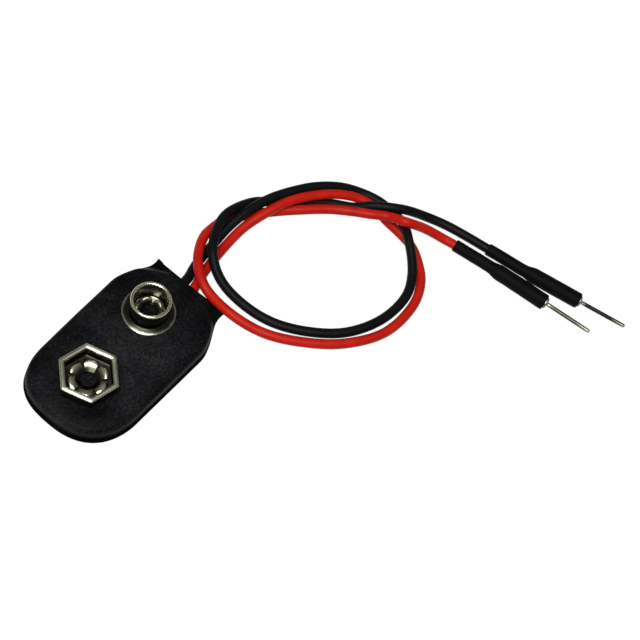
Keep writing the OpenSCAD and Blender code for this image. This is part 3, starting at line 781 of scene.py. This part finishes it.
# Sleeves and pins
def sleeve(name, start, base, turn, swell, seed):
    """Shrunk sleeve: thin over the lead, wider over the barrel, a little uneven as shrunk tube is.

    It widens between the two distances of swell from its start.
    """
    ahead = Vector((math.cos(turn), math.sin(turn), 0))
    a, b = Vector((*start, PIN_Z)), Vector((*base, PIN_Z))
    start_dir = (b - a).normalized()
    bend_at = (b - a).length
    total = bend_at + SLEEVE_L
    rows, sides, bend_run = 70, 40, 2.4
    thin, thick, thick_wall = LEAD_D / 2 + SLEEVE_GAP, 0.92, 0.285
    lump_h, lump_in, lump_step, lump_round = 0.035, 0.02, 0.55, 0.7
    roll_h, roll_l, mouth_in, hidden, lowest = 0.05, 0.15, 0.06, 3.0, 0.01
    verts = []

    def ring(s, r, uneven=False):
        k = ease((s - bend_at) / bend_run + 0.5)
        run = (start_dir * (1 - k) + ahead * k).normalized()
        pos = a + start_dir * s if s < bend_at else b + ahead * (s - bend_at)
        u = run.cross(Vector((0, 0, 1))).normalized()
        v = u.cross(run)
        for c in range(sides):
            g = 2 * math.pi * c / sides
            cos, sin = math.cos(g), math.sin(g)
            lump = noise.noise(Vector((s * lump_step + seed, cos * lump_round, sin * lump_round)))
            q = pos + (r + (lump_h * lump - lump_in if uneven else 0.0)) * (cos * u + sin * v)
            if uneven:
                q.z = max(q.z, lowest)
            verts.append(tuple(q))

    def outside(s):
        k = ease((s - swell[0]) / (swell[1] - swell[0]))
        roll = roll_h * max(0.0, 1 - min(s, total - s) / roll_l) ** 2
        return mix(thin + SLEEVE_T, thick + thick_wall, k) - roll

    ring(mouth_in, thin)
    for i in range(rows + 1):
        s = total * i / rows
        ring(s, outside(s), uneven=True)
    ring(total - mouth_in, thick)
    ring(total - hidden, thick)
    return mesh_piece(name, verts, grid_faces(rows + 4, sides, close_cols=True), SLEEVE, 50)


def pin(name, base, turn, mat):
    """Turned pin: cup and barrel in the sleeve, a domed nose, then the round pin with a blunt tip."""
    pin_r, shaft_l, dome_h, tip_h, cup_floor, sides = 0.30, 7.25, 0.3, 0.27, 3.5, 40
    neck, axis = pin_r + 0.06, 0.001
    profile = [(axis, cup_floor), (CUP_R, cup_floor), (CUP_R, CUP_X), (BARREL_R, CUP_X)]
    profile += [(BARREL_R, 5.0), (BARREL_R, NOSE_AT - 0.15), (BARREL_R, NOSE_AT)]
    profile += [(neck + (BARREL_R - neck) * math.cos(deg(a)), NOSE_AT + dome_h * math.sin(deg(a)))
                for a in range(10, 81, 10)]
    profile += [(pin_r + 0.05, NOSE_AT + 0.31), (pin_r + 0.012, NOSE_AT + 0.35), (pin_r, NOSE_AT + 0.44)]
    profile += [(pin_r, NOSE_AT + k) for k in (2.0, 4.0, 6.0, 7.2)]
    profile += [(pin_r * math.cos(deg(a)), NOSE_AT + shaft_l + tip_h * math.sin(deg(a)))
                for a in range(15, 76, 15)]
    profile += [(axis, NOSE_AT + shaft_l + 0.26)]
    dx, dy = math.cos(turn), math.sin(turn)
    verts = []
    for r, s in profile:
        for i in range(sides):
            g = 2 * math.pi * i / sides
            u, v = r * math.cos(g), r * math.sin(g)
            verts.append((base[0] + s * dx - u * dy, base[1] + s * dy + u * dx, PIN_Z + v))
    return mesh_piece(name, verts, grid_faces(len(profile), sides, close_cols=True), mat, 50)


red_sleeve = sleeve("red_shrink_sleeve", RED_START, RED_BASE, RED_TURN,
                    swell=(6.0, 7.8), seed=3.0)
black_sleeve = sleeve("black_shrink_sleeve", BLACK_START, BLACK_BASE, BLACK_TURN,
                      swell=(6.3, 7.9), seed=11.0)
red_pin = pin("red_turned_pin", RED_BASE, RED_TURN, RED_PIN)
black_pin = pin("black_turned_pin", BLACK_BASE, BLACK_TURN, BLACK_PIN)

# Every piece rides on the one body and stands for its solid
for piece, node, slot in (
    (front, "front_cover", "cover"),
    (back, "back_cover", "cover"),
    (socket, "socket_contact", "contact"),
    (stud, "stud_contact", "contact"),
    (socket_rivet, "socket_rivet", "rivet"),
    (stud_rivet, "stud_rivet", "rivet"),
    (red_lead, "red_lead", "red_pvc"),
    (black_lead, "black_lead", "black_pvc"),
    (red_sleeve, "red_sleeve", "sleeve"),
    (black_sleeve, "black_sleeve", "sleeve"),
    (red_pin, "red_pin", "pin"),
    (black_pin, "black_pin", "pin"),
):
    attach(piece, "root")
    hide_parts(node)

# The solids that stay get their materials
for node, mat in (
    ("contact_board", FIBRE),
    ("socket_tag", BRASS),
    ("stud_tag", BRASS),
    ("socket_solder", SOLDER),
    ("stud_solder", SOLDER),
    ("red_strands", COPPER),
    ("black_strands", COPPER),
    ("red_core", TINNED),
    ("black_core", TINNED),
):
    data = NODE[node].data
    data.materials.clear()
    data.materials.append(mat)

# Floor: white to the eye and in reflections, and it keeps the soft shadow
FLOOR_HALF, FLOOR_DROP, FLOOR_GREY, FLOOR_GLOW = 40, 0.00002, 0.24, 0.84
corners = [(x * FLOOR_HALF, y * FLOOR_HALF, 0) for x, y in ((-1, -1), (1, -1), (1, 1), (-1, 1))]
floor_mesh = bpy.data.meshes.new("floor")
floor_mesh.from_pydata(corners, [], [(0, 1, 2, 3)])
floor = new_object("floor", floor_mesh)
floor.location = (0, 0, -FLOOR_DROP)
floor_mat = bpy.data.materials.new("floor")
floor_mat.use_nodes = True
tree = floor_mat.node_tree
shader = tree.nodes["Principled BSDF"]
shader.inputs["Base Color"].default_value = (FLOOR_GREY, FLOOR_GREY, FLOOR_GREY, 1)
shader.inputs["Roughness"].default_value = 0.9
shader.inputs["Specular IOR Level"].default_value = 0.1
shader.inputs["Emission Color"].default_value = (1, 1, 1, 1)
rays = tree.nodes.new("ShaderNodeLightPath").outputs
mirrored = math_node(tree, "MAXIMUM", rays["Is Glossy Ray"], rays["Is Transmission Ray"])
seen = math_node(tree, "MAXIMUM", rays["Is Camera Ray"], mirrored)
tree.links.new(math_node(tree, "MULTIPLY", seen, FLOOR_GLOW), shader.inputs["Emission Strength"])
floor_mesh.materials.append(floor_mat)

# Soft studio light: a dim white world and one large key lamp
world = bpy.data.worlds.new("world")
scene.world = world
world.use_nodes = True
background = world.node_tree.nodes["Background"]
background.inputs["Color"].default_value = (1, 1, 1, 1)
background.inputs["Strength"].default_value = 0.2

key_data = bpy.data.lights.new("key", "AREA")
key_data.shape = "RECTANGLE"
key_data.size, key_data.size_y = 0.26, 0.42
key_data.energy = 3.0
key = new_object("key", key_data)
key.location = (-0.19, -0.045, 0.45)
key.rotation_euler = (-key.location).to_track_quat("-Z", "Y").to_euler()

scene.view_settings.view_transform = "Standard"
